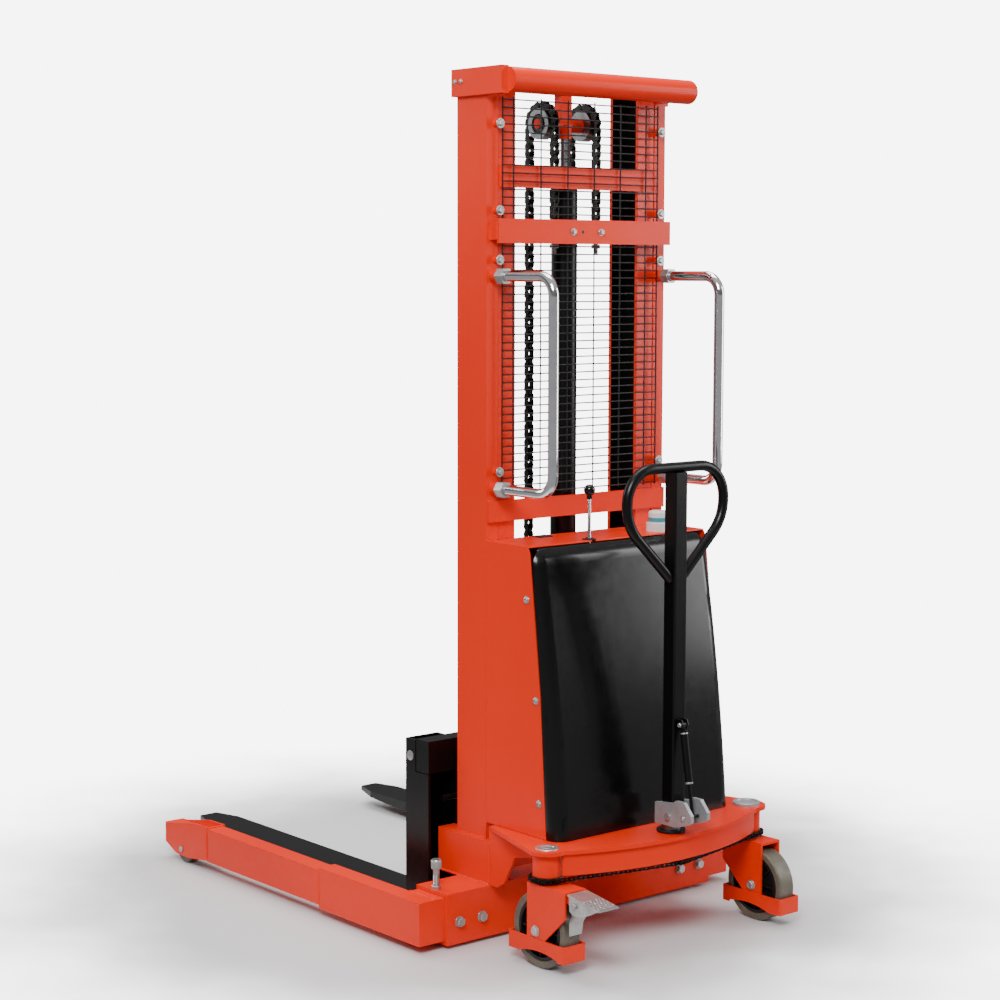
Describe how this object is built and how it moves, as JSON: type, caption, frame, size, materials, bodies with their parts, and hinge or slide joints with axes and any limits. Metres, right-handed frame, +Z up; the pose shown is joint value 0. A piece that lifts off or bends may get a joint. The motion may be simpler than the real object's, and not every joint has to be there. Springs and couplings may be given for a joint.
{
  "type": "walkie stacker",
  "caption": "Walk-behind lift stacker with telescopic mast, wire guard, straddle legs, box forks, swivelling rear wheels, side handles and tall tiller.",
  "frame": {"origin": "on the floor under the centre of the bounding box", "axes": "+X to the machine's right, +Y towards the fork tips, +Z up the mast"},
  "size_m": [1.036, 1.742, 2.08],
  "materials": {
    "orange_paint": "gloss powder coat",
    "black_paint": "satin powder coat",
    "black_plastic": "moulded, fine texture",
    "grey_plastic": "moulded",
    "zinc": "zinc plated",
    "steel": "machined",
    "chrome": "polished",
    "chain_steel": "oiled",
    "tread": "polyurethane, satin",
    "hub": "moulded nylon",
    "battery_case": "moulded",
    "rubber_hose": "braided",
    "cast": "painted casting"
  },
  "bodies": {
    "chassis": {"outer_mast_columns": "orange_paint", "top_crossmember": "orange_paint", "mast_crossbars": "orange_paint", "chain_anchor_bolts": "zinc", "mesh_guard": "black_paint", "guard_screws": "zinc", "side_handles": "chrome", "handle_nuts": "zinc", "base_beam": "orange_paint", "mast_foot_blocks": "orange_paint", "leg_lock_bolts": "zinc", "deck_plate": "orange_paint", "housing_shell": "orange_paint", "rear_cover": "black_plastic", "cover_screws": "zinc", "oil_filler_cap": "grey_plastic", "battery": "battery_case", "power_unit_tray": "black_paint", "pump_motor": "battery_case", "oil_tank": "grey_plastic", "hydraulic_hose": "rubber_hose", "lift_cylinder_barrel": "black_paint", "steering_chain": "chain_steel", "lift_chain_anchor_strands": "chain_steel"},
    "inner_mast": {"inner_mast_columns": "orange_paint", "inner_mast_crossmembers": "orange_paint", "sheave_crosshead": "orange_paint", "piston_rod": "chrome", "mast_guide_rollers": "steel", "lift_chain_carriage_strands": "chain_steel"},
    "sheave_left": {"chain_sheave_left": "steel"},
    "sheave_right": {"chain_sheave_right": "steel"},
    "carriage": {"carriage_frame": "black_paint", "carriage_rollers": "steel"},
    "fork_left": {"fork_left": "black_paint"},
    "fork_right": {"fork_right": "black_paint"},
    "leg_left": {"straddle_leg_left": "orange_paint", "load_axle_left": "steel"},
    "leg_right": {"straddle_leg_right": "orange_paint", "load_axle_right": "steel"},
    "load_wheel_left": {"load_wheel_left": "tread"},
    "load_wheel_right": {"load_wheel_right": "tread"},
    "caster_left": {"caster_fork_left": "orange_paint", "caster_sprocket_left": "steel", "caster_axle_left": "zinc"},
    "caster_right": {"caster_fork_right": "orange_paint", "caster_sprocket_right": "steel", "caster_axle_right": "zinc"},
    "caster_wheel_left": {"caster_hub_left": "hub", "caster_tread_left": "tread"},
    "caster_wheel_right": {"caster_hub_right": "hub", "caster_tread_right": "tread"},
    "brake_pedal": {"brake_pedal": "zinc"},
    "tiller_head": {"steering_post": "steel", "tiller_bracket": "zinc", "tiller_pivot_pin": "zinc"},
    "tiller_arm": {"tiller_arm": "black_paint"},
    "gas_spring_barrel": {"gas_spring_barrel": "cast"},
    "gas_spring_rod": {"gas_spring_rod": "chrome"},
    "control_lever": {"control_lever": "chrome"}
  },
  "joints": [
    {"name": "mast_lift", "type": "slide", "parent": "chassis", "child": "inner_mast", "axis": [0, 0, 1], "range_m": [0, 1.45], "deforming": ["lift_chain_anchor_strands"]},
    {"name": "carriage_lift", "type": "slide", "parent": "inner_mast", "child": "carriage", "axis": [0, 0, 1], "range_m": [0, 1.45], "deforming": ["lift_chain_carriage_strands"]},
    {"name": "sheave_left_spin", "type": "hinge", "parent": "inner_mast", "child": "sheave_left", "pos_m": [-0.068, -0.329, 1.96], "axis": [1, 0, 0], "range_deg": [-1809.1, 1809.1]},
    {"name": "sheave_right_spin", "type": "hinge", "parent": "inner_mast", "child": "sheave_right", "pos_m": [0.068, -0.329, 1.96], "axis": [1, 0, 0], "range_deg": [-1809.1, 1809.1]},
    {"name": "fork_left_slide", "type": "slide", "parent": "carriage", "child": "fork_left", "axis": [1, 0, 0], "range_m": [0, 0.085]},
    {"name": "fork_right_slide", "type": "slide", "parent": "carriage", "child": "fork_right", "axis": [-1, 0, 0], "range_m": [0, 0.085]},
    {"name": "leg_left_slide", "type": "slide", "parent": "chassis", "child": "leg_left", "axis": [-1, 0, 0], "range_m": [-0.02, 0.12]},
    {"name": "leg_right_slide", "type": "slide", "parent": "chassis", "child": "leg_right", "axis": [1, 0, 0], "range_m": [-0.02, 0.12]},
    {"name": "load_wheel_left_spin", "type": "hinge", "parent": "leg_left", "child": "load_wheel_left", "pos_m": [-0.487, 0.643, 0.039], "axis": [1, 0, 0], "continuous": true},
    {"name": "load_wheel_right_spin", "type": "hinge", "parent": "leg_right", "child": "load_wheel_right", "pos_m": [0.487, 0.643, 0.039], "axis": [1, 0, 0], "continuous": true},
    {"name": "tiller_steer", "type": "hinge", "parent": "chassis", "child": "tiller_head", "pos_m": [0, -0.729, 0.29], "axis": [0, 0, 1], "range_deg": [-80, 80]},
    {"name": "caster_left_swivel", "type": "hinge", "parent": "chassis", "child": "caster_left", "pos_m": [-0.331, -0.659, 0.24], "axis": [0, 0, 1], "range_deg": [-85, 85]},
    {"name": "caster_right_swivel", "type": "hinge", "parent": "chassis", "child": "caster_right", "pos_m": [0.331, -0.659, 0.24], "axis": [0, 0, 1], "range_deg": [-85, 85]},
    {"name": "caster_wheel_left_spin", "type": "hinge", "parent": "caster_left", "child": "caster_wheel_left", "pos_m": [-0.331, -0.659, 0.09], "axis": [1, 0, 0], "continuous": true},
    {"name": "caster_wheel_right_spin", "type": "hinge", "parent": "caster_right", "child": "caster_wheel_right", "pos_m": [0.331, -0.711, 0.09], "axis": [1, 0, 0], "continuous": true},
    {"name": "brake_pedal_press", "type": "hinge", "parent": "caster_left", "child": "brake_pedal", "pos_m": [-0.331, -0.787, 0.176], "axis": [1, 0, 0], "range_deg": [0, 6]},
    {"name": "tiller_tilt", "type": "hinge", "parent": "tiller_head", "child": "tiller_arm", "pos_m": [0, -0.751, 0.324], "axis": [1, 0, 0], "range_deg": [0, 70]},
    {"name": "gas_spring_swing", "type": "hinge", "parent": "tiller_arm", "child": "gas_spring_barrel", "pos_m": [0, -0.766, 0.543], "axis": [1, 0, 0], "range_deg": [-2, 12.8]},
    {"name": "gas_spring_stroke", "type": "slide", "parent": "gas_spring_barrel", "child": "gas_spring_rod", "axis": [0, 0.1607, 0.987], "range_m": [-0.004, 0.0502]},
    {"name": "control_lever_tip", "type": "hinge", "parent": "chassis", "child": "control_lever", "pos_m": [-0.08, -0.521, 0.94], "axis": [1, 0, 0], "range_deg": [-12, 12], "stiffness_Nm_per_rad": 3}
  ],
  "couplings": [
    {"joint": "carriage_lift", "follows": "mast_lift", "ratio": 1},
    {"joint": "sheave_left_spin", "follows": "mast_lift", "rad_per_m": -21.739},
    {"joint": "sheave_right_spin", "follows": "mast_lift", "rad_per_m": -21.739},
    {"joint": "caster_left_swivel", "follows": "tiller_steer", "ratio": 1},
    {"joint": "caster_right_swivel", "follows": "tiller_steer", "ratio": 1},
    {"joint": "gas_spring_swing", "follows": "tiller_tilt", "ratio": 0.14},
    {"joint": "gas_spring_stroke", "follows": "tiller_tilt", "m_per_rad": 0.03861}
  ]
}
